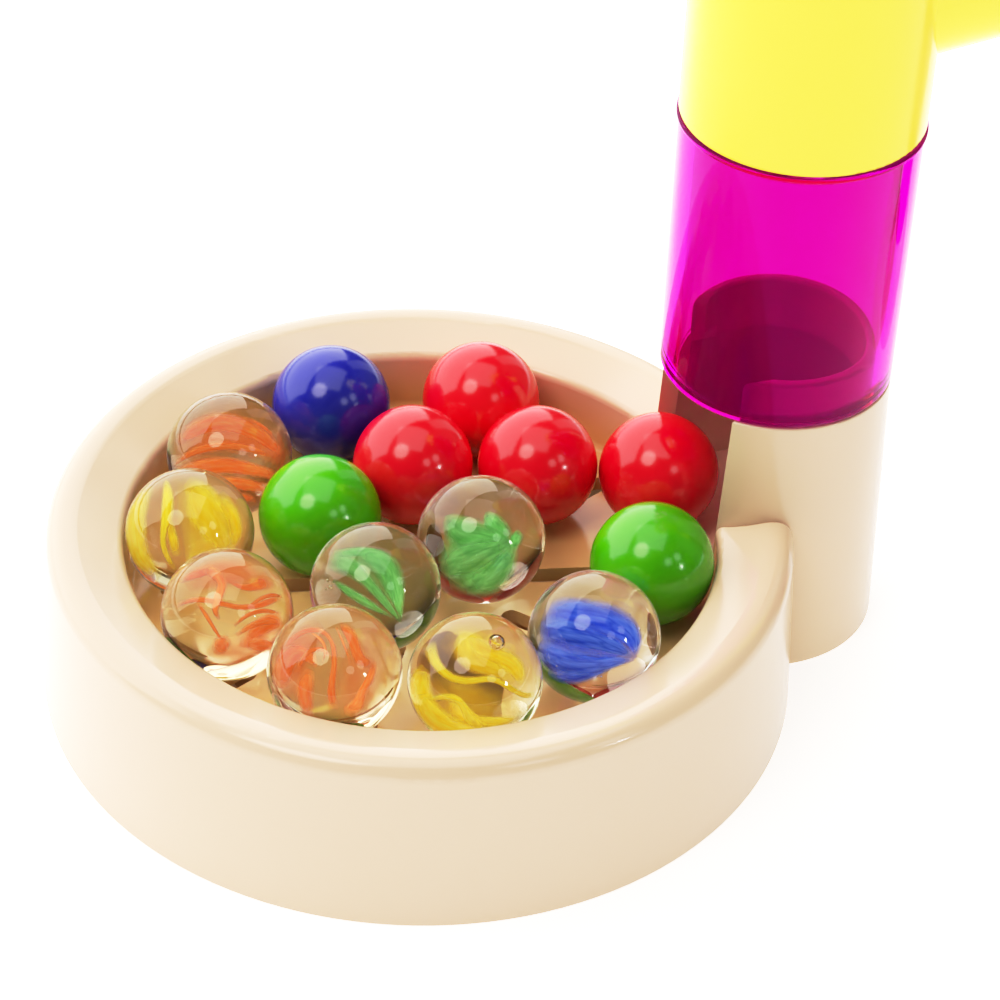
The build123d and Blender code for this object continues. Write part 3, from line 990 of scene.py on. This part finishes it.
SWIRLS = (
    Swirl("glass_orange_1", GlassColour.ORANGE, (
        Vane((
            (-0.88, 0.2, 0.1, 0.16), (-0.56, 0.48, 0.2, 0.24), (-0.08, 0.6, 0.3, 0.26),
            (0.37, 0.46, 0.3, 0.22), (0.72, 0.24, 0.2, 0.18), (0.95, 0.02, 0.1, 0.1),
        )),
        Vane((
            (-0.92, -0.16, 0.2, 0.05), (-0.56, 0.06, 0.4, 0.09), (-0.08, 0.16, 0.45, 0.1),
            (0.37, 0.12, 0.4, 0.08), (0.8, -0.06, 0.2, 0.06),
        )),
        Vane((
            (-0.92, -0.3, -0.1, 0.1), (-0.5, -0.18, -0.1, 0.16), (-0.08, -0.14, -0.1, 0.16),
            (0.4, -0.24, -0.1, 0.12), (0.86, -0.36, -0.1, 0.1),
        )),
        Vane((
            (-0.5, -0.48, 0.1, 0.06), (-0.1, -0.42, 0.0, 0.12), (0.35, -0.5, 0.0, 0.14),
            (0.75, -0.62, -0.1, 0.1),
        )),
        Vane(((-0.2, -0.72, 0.1, 0.06), (0.15, -0.7, 0.0, 0.12), (0.45, -0.78, -0.1, 0.1))),
        Vane((
            (-0.9, 0.0, -0.4, 0.2), (-0.5, 0.26, -0.4, 0.3), (0.0, 0.36, -0.4, 0.34), (0.5, 0.2, -0.4, 0.3),
            (0.9, -0.1, -0.4, 0.2),
        ), 0.35),
        Vane(((0.3, 0.62, 0.2, 0.04), (0.6, 0.5, 0.2, 0.05), (0.84, 0.28, 0.1, 0.04)), 0.6),
    )),
    Swirl("glass_yellow_1", GlassColour.YELLOW, (
        Vane((
            (-0.67, 0.79, -0.1, 0.12), (-0.89, 0.39, 0.0, 0.25), (-0.94, -0.06, 0.0, 0.3),
            (-0.82, -0.46, 0.0, 0.25), (-0.49, -0.73, -0.1, 0.12),
        )),
        Vane((
            (-0.4, 0.9, 0.1, 0.06), (-0.29, 0.61, 0.4, 0.12), (-0.27, 0.25, 0.5, 0.13),
            (-0.36, -0.01, 0.5, 0.05), (-0.36, -0.28, 0.4, 0.07), (-0.2, -0.59, 0.2, 0.05),
        )),
        Vane(((-0.27, 0.25, 0.45, 0.08), (-0.2, -0.06, 0.4, 0.1), (-0.16, -0.37, 0.3, 0.1))),
        Vane((
            (0.16, 0.68, -0.1, 0.35), (0.31, 0.39, 0.0, 0.5), (0.44, 0.1, 0.0, 0.4),
            (0.36, -0.24, 0.0, 0.12),
        )),
        Vane((
            (0.44, 0.61, -0.3, 0.2), (0.69, 0.3, -0.2, 0.25), (0.78, -0.01, -0.2, 0.2),
            (0.67, -0.28, -0.2, 0.08),
        )),
        Vane((
            (-0.1, 0.9, -0.4, 0.3), (0.1, 0.5, -0.4, 0.5), (0.3, 0.0, -0.4, 0.6), (0.2, -0.5, -0.4, 0.4),
            (0.0, -0.8, -0.4, 0.2),
        ), 0.35),
        Vane((
            (0.0, 0.88, 0.1, 0.2), (0.24, 0.62, 0.2, 0.4), (0.44, 0.28, 0.2, 0.48), (0.6, -0.06, 0.1, 0.36),
            (0.62, -0.4, 0.0, 0.16),
        ), 0.6),
    )),
    Swirl("glass_orange_2", GlassColour.ORANGE, (
        Vane((
            (-0.34, 0.8, 0.2, 0.16), (-0.12, 0.68, 0.3, 0.16), (0.0, 0.5, 0.35, 0.1),
            (-0.08, 0.28, 0.35, 0.1), (-0.16, 0.08, 0.35, 0.06), (-0.08, -0.06, 0.3, 0.04),
        )),
        Vane((
            (-0.78, 0.14, 0.1, 0.06), (-0.48, 0.27, 0.3, 0.06), (-0.14, 0.22, 0.35, 0.06),
            (0.22, 0.1, 0.35, 0.05), (0.58, 0.16, 0.2, 0.06), (0.94, 0.33, 0.0, 0.08),
        )),
        Vane((
            (0.0, 0.6, 0.3, 0.05), (0.26, 0.4, 0.2, 0.07), (0.5, 0.48, 0.1, 0.14), (0.72, 0.64, 0.0, 0.24),
        ), 0.7),
        Vane((
            (0.14, -0.16, 0.4, 0.03), (0.32, 0.02, 0.4, 0.04), (0.6, 0.1, 0.3, 0.05),
            (0.94, 0.02, 0.1, 0.03),
        )),
        Vane((
            (0.16, -0.3, 0.3, 0.04), (0.4, -0.14, 0.3, 0.06), (0.68, -0.06, 0.2, 0.08),
            (0.94, -0.14, 0.1, 0.06),
        )),
        Vane((
            (0.24, -0.42, 0.0, 0.08), (0.46, -0.2, -0.1, 0.16), (0.68, -0.09, -0.2, 0.2),
            (0.89, -0.11, -0.2, 0.12),
        )),
        Vane(((-0.2, -0.56, 0.2, 0.1), (-0.07, -0.44, 0.2, 0.2), (0.07, -0.35, 0.2, 0.1))),
        Vane(((0.17, -0.44, 0.0, 0.08), (0.5, -0.46, -0.1, 0.16), (0.85, -0.54, -0.2, 0.1))),
        Vane((
            (-0.42, 0.22, 0.3, 0.05), (-0.27, 0.0, 0.3, 0.04), (-0.14, -0.22, 0.3, 0.03),
            (-0.03, -0.42, 0.2, 0.03),
        )),
        Vane(((-0.77, 0.5, -0.2, 0.1), (-0.51, 0.66, -0.1, 0.14), (-0.16, 0.72, 0.0, 0.1))),
        Vane((
            (-0.7, 0.45, -0.2, 0.3), (-0.3, 0.7, -0.2, 0.4), (0.2, 0.75, -0.2, 0.4),
            (0.6, 0.55, -0.2, 0.25),
        ), 0.4),
        Vane((
            (-0.4, -0.75, -0.3, 0.2), (0.1, -0.6, -0.3, 0.35), (0.6, -0.4, -0.3, 0.35),
            (0.9, -0.1, -0.3, 0.2),
        ), 0.3),
        Vane((
            (0.3, 0.1, 0.3, 0.03), (0.58, 0.3, 0.3, 0.04), (0.85, 0.36, 0.2, 0.05), (0.95, 0.3, 0.1, 0.03),
        )),
    )),
    Swirl("glass_orange_3", GlassColour.ORANGE, (
        Vane((
            (-0.84, 0.33, 0.0, 0.08), (-0.66, 0.59, 0.1, 0.12), (-0.36, 0.71, 0.2, 0.08),
            (-0.09, 0.63, 0.3, 0.05), (0.03, 0.38, 0.3, 0.05), (0.02, 0.04, 0.3, 0.06),
            (-0.05, -0.28, 0.2, 0.07), (0.02, -0.55, 0.1, 0.12),
        )),
        Vane((
            (-0.88, -0.28, -0.1, 0.18), (-0.84, 0.08, -0.1, 0.28), (-0.64, 0.35, -0.1, 0.26),
            (-0.34, 0.26, 0.0, 0.14), (-0.25, 0.06, 0.1, 0.05),
        )),
        Vane((
            (-0.32, 0.07, 0.4, 0.1), (-0.4, -0.15, 0.4, 0.17), (-0.43, -0.42, 0.3, 0.16),
            (-0.37, -0.67, 0.2, 0.1),
        )),
        Vane((
            (0.11, 0.75, 0.2, 0.08), (0.27, 0.65, 0.3, 0.15), (0.34, 0.4, 0.3, 0.12),
            (0.4, 0.17, 0.3, 0.14), (0.61, 0.15, 0.2, 0.12),
        )),
        Vane((
            (0.64, 0.17, 0.1, 0.06), (0.57, -0.08, 0.1, 0.09), (0.39, -0.33, 0.1, 0.08),
            (0.41, -0.53, 0.1, 0.2), (0.14, -0.61, 0.1, 0.1),
        )),
        Vane((
            (-0.16, 0.15, 0.4, 0.03), (-0.09, 0.35, 0.4, 0.03), (-0.2, 0.54, 0.3, 0.03),
            (-0.41, 0.63, 0.2, 0.03),
        )),
        Vane(((0.04, 0.72, 0.3, 0.03), (0.16, 0.49, 0.45, 0.03), (0.27, 0.13, 0.45, 0.03))),
        Vane((
            (-0.75, -0.5, -0.3, 0.3), (-0.8, 0.0, -0.3, 0.45), (-0.6, 0.45, -0.3, 0.45),
            (-0.2, 0.7, -0.3, 0.3),
        ), 0.4),
        Vane((
            (0.1, -0.8, -0.3, 0.2), (0.3, -0.4, -0.3, 0.4), (0.35, 0.1, -0.3, 0.4), (0.3, 0.6, -0.3, 0.3),
        ), 0.25),
        Vane((
            (-0.55, 0.0, 0.35, 0.05), (-0.45, 0.3, 0.35, 0.06), (-0.18, 0.42, 0.35, 0.05),
            (0.0, 0.2, 0.35, 0.04),
        )),
    )),
    Swirl("glass_yellow_2", GlassColour.YELLOW, (
        Vane((
            (-0.74, 0.6, 0.1, 0.18), (-0.63, 0.29, 0.3, 0.1), (-0.36, 0.03, 0.4, 0.08),
            (-0.02, 0.01, 0.45, 0.08), (0.25, 0.08, 0.4, 0.06), (0.51, -0.08, 0.35, 0.06),
            (0.78, -0.25, 0.2, 0.06), (0.94, -0.23, 0.0, 0.08),
        )),
        Vane((
            (-0.13, 0.77, 0.0, 0.14), (-0.09, 0.58, 0.0, 0.28), (0.11, 0.42, -0.1, 0.24),
            (0.42, 0.36, -0.1, 0.24), (0.69, 0.18, -0.1, 0.22), (0.71, -0.09, -0.1, 0.1),
        )),
        Vane((
            (-0.76, 0.22, 0.0, 0.1), (-0.9, 0.02, -0.1, 0.25), (-0.85, -0.38, -0.1, 0.3),
            (-0.6, -0.67, -0.1, 0.26), (-0.2, -0.76, 0.0, 0.16),
        )),
        Vane((
            (-0.6, -0.25, 0.2, 0.08), (-0.25, -0.19, 0.3, 0.05), (-0.13, -0.4, 0.3, 0.06),
            (-0.02, -0.59, 0.2, 0.1), (0.38, -0.64, 0.1, 0.12), (0.69, -0.59, 0.0, 0.05),
        )),
        Vane(((-0.42, -0.38, -0.3, 0.1), (-0.16, -0.51, -0.3, 0.18), (0.02, -0.69, -0.3, 0.1))),
        Vane((
            (-0.7, 0.1, -0.4, 0.3), (-0.3, -0.3, -0.4, 0.5), (0.2, -0.5, -0.4, 0.5), (0.7, -0.5, -0.4, 0.3),
        ), 0.3),
        Vane((
            (-0.5, 0.7, -0.3, 0.3), (0.0, 0.5, -0.3, 0.5), (0.5, 0.2, -0.3, 0.4), (0.8, -0.1, -0.3, 0.2),
        ), 0.3),
        Vane((
            (-0.75, -0.3, 0.3, 0.06), (-0.45, -0.2, 0.35, 0.06), (-0.15, -0.3, 0.35, 0.06),
            (-0.1, -0.6, 0.3, 0.12), (0.2, -0.72, 0.2, 0.1),
        )),
        Vane((
            (-0.85, -0.2, 0.1, 0.16), (-0.8, -0.5, 0.1, 0.3), (-0.5, -0.75, 0.1, 0.3),
            (-0.1, -0.8, 0.1, 0.2), (0.3, -0.78, 0.1, 0.12),
        )),
        Vane((
            (-0.1, 0.8, 0.1, 0.1), (-0.2, 0.5, 0.1, 0.24), (0.0, 0.26, 0.1, 0.26), (0.3, 0.2, 0.0, 0.2),
            (0.6, 0.0, 0.0, 0.1),
        ), 0.6),
    ), (Bubble(0.34, 0.61, 0.3, 0.14),)),
    Swirl("glass_green_1", GlassColour.GREEN, (
        Vane((
            (-0.74, 0.52, 0.1, 0.26), (-0.42, 0.42, 0.2, 0.26), (-0.15, 0.2, 0.3, 0.15),
            (0.1, -0.11, 0.3, 0.1), (0.3, -0.38, 0.2, 0.06), (0.42, -0.56, 0.1, 0.02),
        ), 0.75),
        Vane((
            (-0.4, 0.5, 0.0, 0.14), (-0.05, 0.42, 0.0, 0.24), (0.14, 0.2, 0.0, 0.2),
            (0.24, -0.06, 0.0, 0.12), (0.34, -0.34, 0.0, 0.04),
        ), 0.45),
        Vane((
            (-0.31, 0.53, 0.0, 0.1), (0.04, 0.5, 0.0, 0.22), (0.22, 0.34, 0.0, 0.28),
            (0.32, 0.08, 0.0, 0.22), (0.37, -0.23, 0.0, 0.12), (0.42, -0.51, 0.1, 0.02),
        )),
        Vane((
            (-0.66, 0.14, 0.3, 0.04), (-0.39, -0.05, 0.3, 0.1), (-0.07, -0.24, 0.3, 0.09),
            (0.29, -0.46, 0.2, 0.02),
        )),
        Vane((
            (-0.68, 0.52, -0.1, 0.12), (-0.35, 0.57, -0.1, 0.1), (0.0, 0.56, -0.1, 0.1),
            (0.24, 0.45, -0.1, 0.06),
        )),
    ), (
        Bubble(-0.75, 0.12, 0.2, 0.025), Bubble(-0.7, 0.01, 0.2, 0.03), Bubble(-0.77, -0.02, 0.1, 0.02),
        Bubble(-0.65, 0.08, 0.2, 0.02),
    )),
    Swirl("glass_green_2", GlassColour.GREEN, (
        Vane((
            (-0.52, 0.42, 0.2, 0.1), (-0.44, 0.18, 0.2, 0.34), (-0.04, 0.06, 0.2, 0.32),
            (0.45, 0.01, 0.1, 0.1),
        )),
        Vane((
            (0.1, 0.45, 0.1, 0.06), (0.16, 0.28, 0.1, 0.24), (0.34, 0.12, 0.1, 0.22),
            (0.48, 0.03, 0.1, 0.1),
        )),
        Vane((
            (-0.76, -0.42, 0.3, 0.3), (-0.4, -0.36, 0.3, 0.38), (0.05, -0.18, 0.3, 0.3),
            (0.46, -0.01, 0.2, 0.08),
        )),
        Vane((
            (-0.3, -0.75, 0.1, 0.25), (0.05, -0.66, 0.1, 0.4), (0.32, -0.41, 0.1, 0.35),
            (0.5, -0.06, 0.1, 0.12),
        )),
        Vane(((0.65, 0.12, 0.0, 0.1), (0.56, 0.01, 0.0, 0.15), (0.45, -0.24, 0.0, 0.1))),
        Vane((
            (-0.62, -0.15, 0.0, 0.2), (-0.25, -0.08, 0.0, 0.45), (0.12, -0.05, 0.0, 0.4),
            (0.46, 0.0, 0.0, 0.12),
        )),
        Vane((
            (-0.6, -0.62, 0.0, 0.3), (-0.15, -0.5, 0.0, 0.5), (0.25, -0.28, 0.0, 0.38),
            (0.48, -0.02, 0.0, 0.1),
        )),
    )),
    Swirl("glass_blue", GlassColour.BLUE, (
        Vane((
            (-0.79, 0.5, 0.1, 0.3), (-0.41, 0.42, 0.1, 0.32), (0.04, 0.33, 0.1, 0.34),
            (0.44, 0.22, 0.1, 0.34), (0.67, -0.05, 0.1, 0.22), (0.64, -0.34, 0.1, 0.03),
        )),
        Vane((
            (-0.9, 0.2, 0.2, 0.25), (-0.54, 0.13, 0.35, 0.3), (-0.09, 0.04, 0.35, 0.26),
            (0.31, -0.11, 0.3, 0.16), (0.64, -0.33, 0.1, 0.03),
        )),
        Vane((
            (-0.9, -0.16, 0.1, 0.25), (-0.58, -0.34, 0.3, 0.28), (-0.14, -0.41, 0.3, 0.22),
            (0.26, -0.36, 0.2, 0.12), (0.63, -0.35, 0.1, 0.03),
        )),
        Vane((
            (-0.76, -0.52, 0.0, 0.15), (-0.41, -0.6, 0.0, 0.2), (-0.05, -0.52, 0.0, 0.16),
            (0.31, -0.41, 0.1, 0.06),
        )),
        Vane((
            (-0.9, 0.35, -0.1, 0.35), (-0.5, 0.3, -0.1, 0.45), (0.0, 0.2, -0.1, 0.4),
            (0.4, 0.0, -0.1, 0.25), (0.64, -0.32, 0.0, 0.05),
        ), 0.5),
        Vane((
            (-0.92, -0.05, -0.1, 0.3), (-0.55, -0.12, -0.1, 0.4), (-0.1, -0.2, -0.1, 0.3),
            (0.3, -0.28, 0.0, 0.15), (0.62, -0.34, 0.0, 0.04),
        ), 0.5),
    ), (
        Bubble(-0.4, 0.62, 0.3, 0.02), Bubble(-0.05, 0.56, 0.4, 0.015), Bubble(0.25, 0.5, 0.4, 0.02),
        Bubble(0.55, 0.36, 0.3, 0.015), Bubble(0.7, 0.12, 0.2, 0.02), Bubble(-0.6, -0.45, 0.3, 0.018),
        Bubble(0.1, -0.6, 0.3, 0.02),
    )),
)


@dataclass
class GlassMarble:
    """One clear marble with its sheets of colour and its bubbles.

    Attributes:
        swirl: What is inside it.
        effects: The shared effects.
        front: Which way is across, up and near, as seen from the front.
        ior: How strongly the glass bends light.
        skin: How near the surface a sheet's middle may come, as a share of the radius.
        thickness: How thick a sheet is.
        widen: How much wider a sheet is made than it looks, because its edges fade.
        end_body: How solid a sheet's ends are, next to its middle.
        polish: The roughness of the clear glass.
        sheet_roughness: The roughness of a sheet.
        smoothing: How many times a sheet is smoothed.
        bubble_detail: How finely a bubble is divided.
    """

    swirl: Swirl
    effects: Effects
    front: Matrix
    ior: float = 1.5
    skin: float = 0.93
    thickness: float = 0.1 * MM
    widen: float = 2.3
    end_body: float = 0.2
    polish: float = 0.0
    sheet_roughness: float = 0.25
    smoothing: int = 2
    bubble_detail: int = 4

    def __post_init__(self) -> None:
        """Reads the marble's place."""
        low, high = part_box(self.swirl.node)
        self.centre = (low + high) / 2
        self.radius = (high.x - low.x) / 2

    def magnified(self, near: float) -> float:
        """How much larger a thing looks through the glass.

        Args:
            near: How near it is, from -1 at the back to 1 at the front.

        Returns:
            Its size as it looks, over its real size.
        """
        return self.ior / (1.0 + (self.ior - 1.0) * near)

    def inside(self, across: float, up: float, near: float) -> Vector:
        """The real place of a point in the marble, kept within the glass.

        Args:
            across: How far across it looks, in radii.
            up: How far up it looks, in radii.
            near: How near it is, in radii.

        Returns:
            The place, from the marble's centre.
        """
        size = self.magnified(near)
        spot = Vector((across / size, up / size, near))
        if spot.length > self.skin:
            spot *= self.skin / spot.length
        return self.front @ (spot * self.radius)

    def sections(self, vane: Vane) -> list[tuple[Matrix, float]]:
        """Where each section of a sheet lies.

        Args:
            vane: The sheet.

        Returns:
            The placing of a unit-wide section at each knot, and how far along it is.
        """
        spots = [self.inside(*knot[:3]) for knot in vane.knots]
        toward = self.front @ Vector((0.0, 0.0, 1.0))
        last = len(spots) - 1
        out = []
        for index, (*_, near, width) in enumerate(vane.knots):
            ahead = (spots[min(index + 1, last)] - spots[max(index - 1, 0)]).normalized()
            side = Matrix.Rotation(math.radians(vane.lean), 3, ahead) @ ahead.cross(toward).normalized()
            basis = Matrix((side, ahead, side.cross(ahead))).transposed().to_4x4()
            wide = self.widen * width / self.magnified(near) * self.radius
            place = Matrix.Translation(self.centre + spots[index]) @ basis @ Matrix.Scale(wide, 4)
            out.append((place, index / last))
        return out

    def sheet(self, shape: bmesh.types.BMesh, vane: Vane) -> None:
        """Draws one sheet out along its knots.

        Args:
            shape: The mesh that it is added to.
            vane: The sheet.
        """
        across, along, body = (shape.verts.layers.float[name] for name in VANE_LAYERS)
        sections = self.sections(vane)
        verts = []
        for share in VANE_SECTION:
            vert = shape.verts.new((share / 2, 0.0, vane.cup * (1.0 - share * share)))
            vert[across] = share
            verts.append(vert)
        edges = [shape.edges.new(pair) for pair in zip(verts, verts[1:])]
        last = Matrix.Identity(4)
        for index, (place, share) in enumerate(sections):
            if index:
                grown = bmesh.ops.extrude_edge_only(shape, edges=edges)["geom"]
                verts = [item for item in grown if isinstance(item, bmesh.types.BMVert)]
                edges = [item for item in grown if isinstance(item, bmesh.types.BMEdge)]
                edges = [edge for edge in edges if all(vert in verts for vert in edge.verts)]
            bmesh.ops.transform(shape, matrix=place @ last.inverted(), verts=verts)
            for vert in verts:
                vert[along] = share * len(sections)
                vert[body] = vane.body * (self.end_body if share in (0.0, 1.0) else 1.0)
            last = place

    def build_sheets(self) -> bpy.types.Object:
        """Builds all the sheets as one piece.

        Returns:
            The piece.
        """
        shape = bmesh.new()
        for name in VANE_LAYERS:
            shape.verts.layers.float.new(name)
        for vane in self.swirl.vanes:
            self.sheet(shape, vane)
        bmesh.ops.recalc_face_normals(shape, faces=shape.faces)
        piece = self.place(shape, "_sheets")
        thick = piece.modifiers.new("thickness", "SOLIDIFY")
        thick.thickness = self.thickness
        thick.offset = 0.0
        smooth = piece.modifiers.new("smooth", "SUBSURF")
        smooth.levels = smooth.render_levels = self.smoothing
        mix = self.swirl.colour.value
        finish = VaneGlass(self.effects, mix.bright, self.sheet_roughness, deep=mix.deep)
        piece.data.materials.append(finish.material(piece.name, self.centre))
        return piece

    def build_bubbles(self) -> bpy.types.Object:
        """Builds the bubbles as one piece.

        Returns:
            The piece.
        """
        shape = bmesh.new()
        for bubble in self.swirl.bubbles:
            spot = self.centre + self.inside(bubble.across, bubble.up, bubble.near)
            size = bubble.radius / self.magnified(bubble.near) * self.radius
            bmesh.ops.create_icosphere(
                shape, subdivisions=self.bubble_detail, radius=size, matrix=Matrix.Translation(spot)
            )
        piece = self.place(shape, "_bubbles")
        finish = ClearGlass(self.effects, (1.0, 1.0, 1.0), self.polish, ior=1.0 / self.ior)
        piece.data.materials.append(finish.material(piece.name, self.centre))
        return piece

    def place(self, shape: bmesh.types.BMesh, ending: str) -> bpy.types.Object:
        """Turns a finished mesh into a piece that moves with the marble.

        Args:
            shape: The mesh, which is freed.
            ending: The end of the piece's name.

        Returns:
            The piece.
        """
        mesh = bpy.data.meshes.new(self.swirl.node + ending)
        shape.to_mesh(mesh)
        shape.free()
        mesh.shade_smooth()
        piece = bpy.data.objects.new(mesh.name, mesh)
        bpy.context.scene.collection.objects.link(piece)
        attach(piece, self.swirl.node)
        return piece

    def build(self) -> None:
        """Builds and dresses the marble."""
        glass = ClearGlass(self.effects, self.swirl.colour.value.clear, self.polish, ior=self.ior)
        dress(self.swirl.node, glass.material(self.swirl.node, self.centre))
        self.build_sheets()
        LOG.info("%s_sheets: %d sheets", self.swirl.node, len(self.swirl.vanes))
        if self.swirl.bubbles:
            self.build_bubbles()
            LOG.info("%s_bubbles: %d bubbles", self.swirl.node, len(self.swirl.bubbles))


@dataclass
class Marbles:
    """All the marbles."""

    effects: Effects
    front: Matrix
    gloss: float = 0.16

    def enamels(self) -> dict[str, EnamelGlass]:
        """The finish of each opaque marble, with its streaks turned its own way.

        Returns:
            The finishes, by the marbles' node names.
        """
        red = EnamelGlass(
            self.effects, paint(241, 0, 36), self.gloss, shade=paint(212, 0, 24), streak=paint(246, 36, 62)
        )
        blue = EnamelGlass(
            self.effects, paint(32, 36, 172), self.gloss, shade=paint(22, 20, 132), streak=paint(92, 96, 196)
        )
        green = EnamelGlass(
            self.effects, paint(86, 186, 0), self.gloss, shade=paint(56, 146, 0), streak=paint(130, 198, 26)
        )
        reds = {"marble_red_%d" % (turn + 1): replace(red, tilt=(turn, 0.7 * turn, 0.3)) for turn in range(4)}
        return reds | {
            "marble_blue": replace(blue, tilt=(0.4, 1.2, 0.1)),
            "marble_green_1": replace(green, tilt=(1.0, 0.9, 5.0)),
            "marble_green_2": replace(green, tilt=(1.2, 0.9, 6.0)),
        }

    def build(self) -> None:
        """Dresses the marbles."""
        for node, finish in self.enamels().items():
            low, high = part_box(node)
            dress(node, finish.material(node, (low + high) / 2))
        for swirl in SWIRLS:
            GlassMarble(swirl, self.effects, self.front).build()


def main() -> None:
    """Builds the looks in order."""
    logging.basicConfig(level=logging.INFO)
    effects = Effects()
    studio = Studio()
    studio.build()
    Towers(effects).build()
    Marbles(effects, studio.front()).build()


if __name__ == "__main__":
    main()
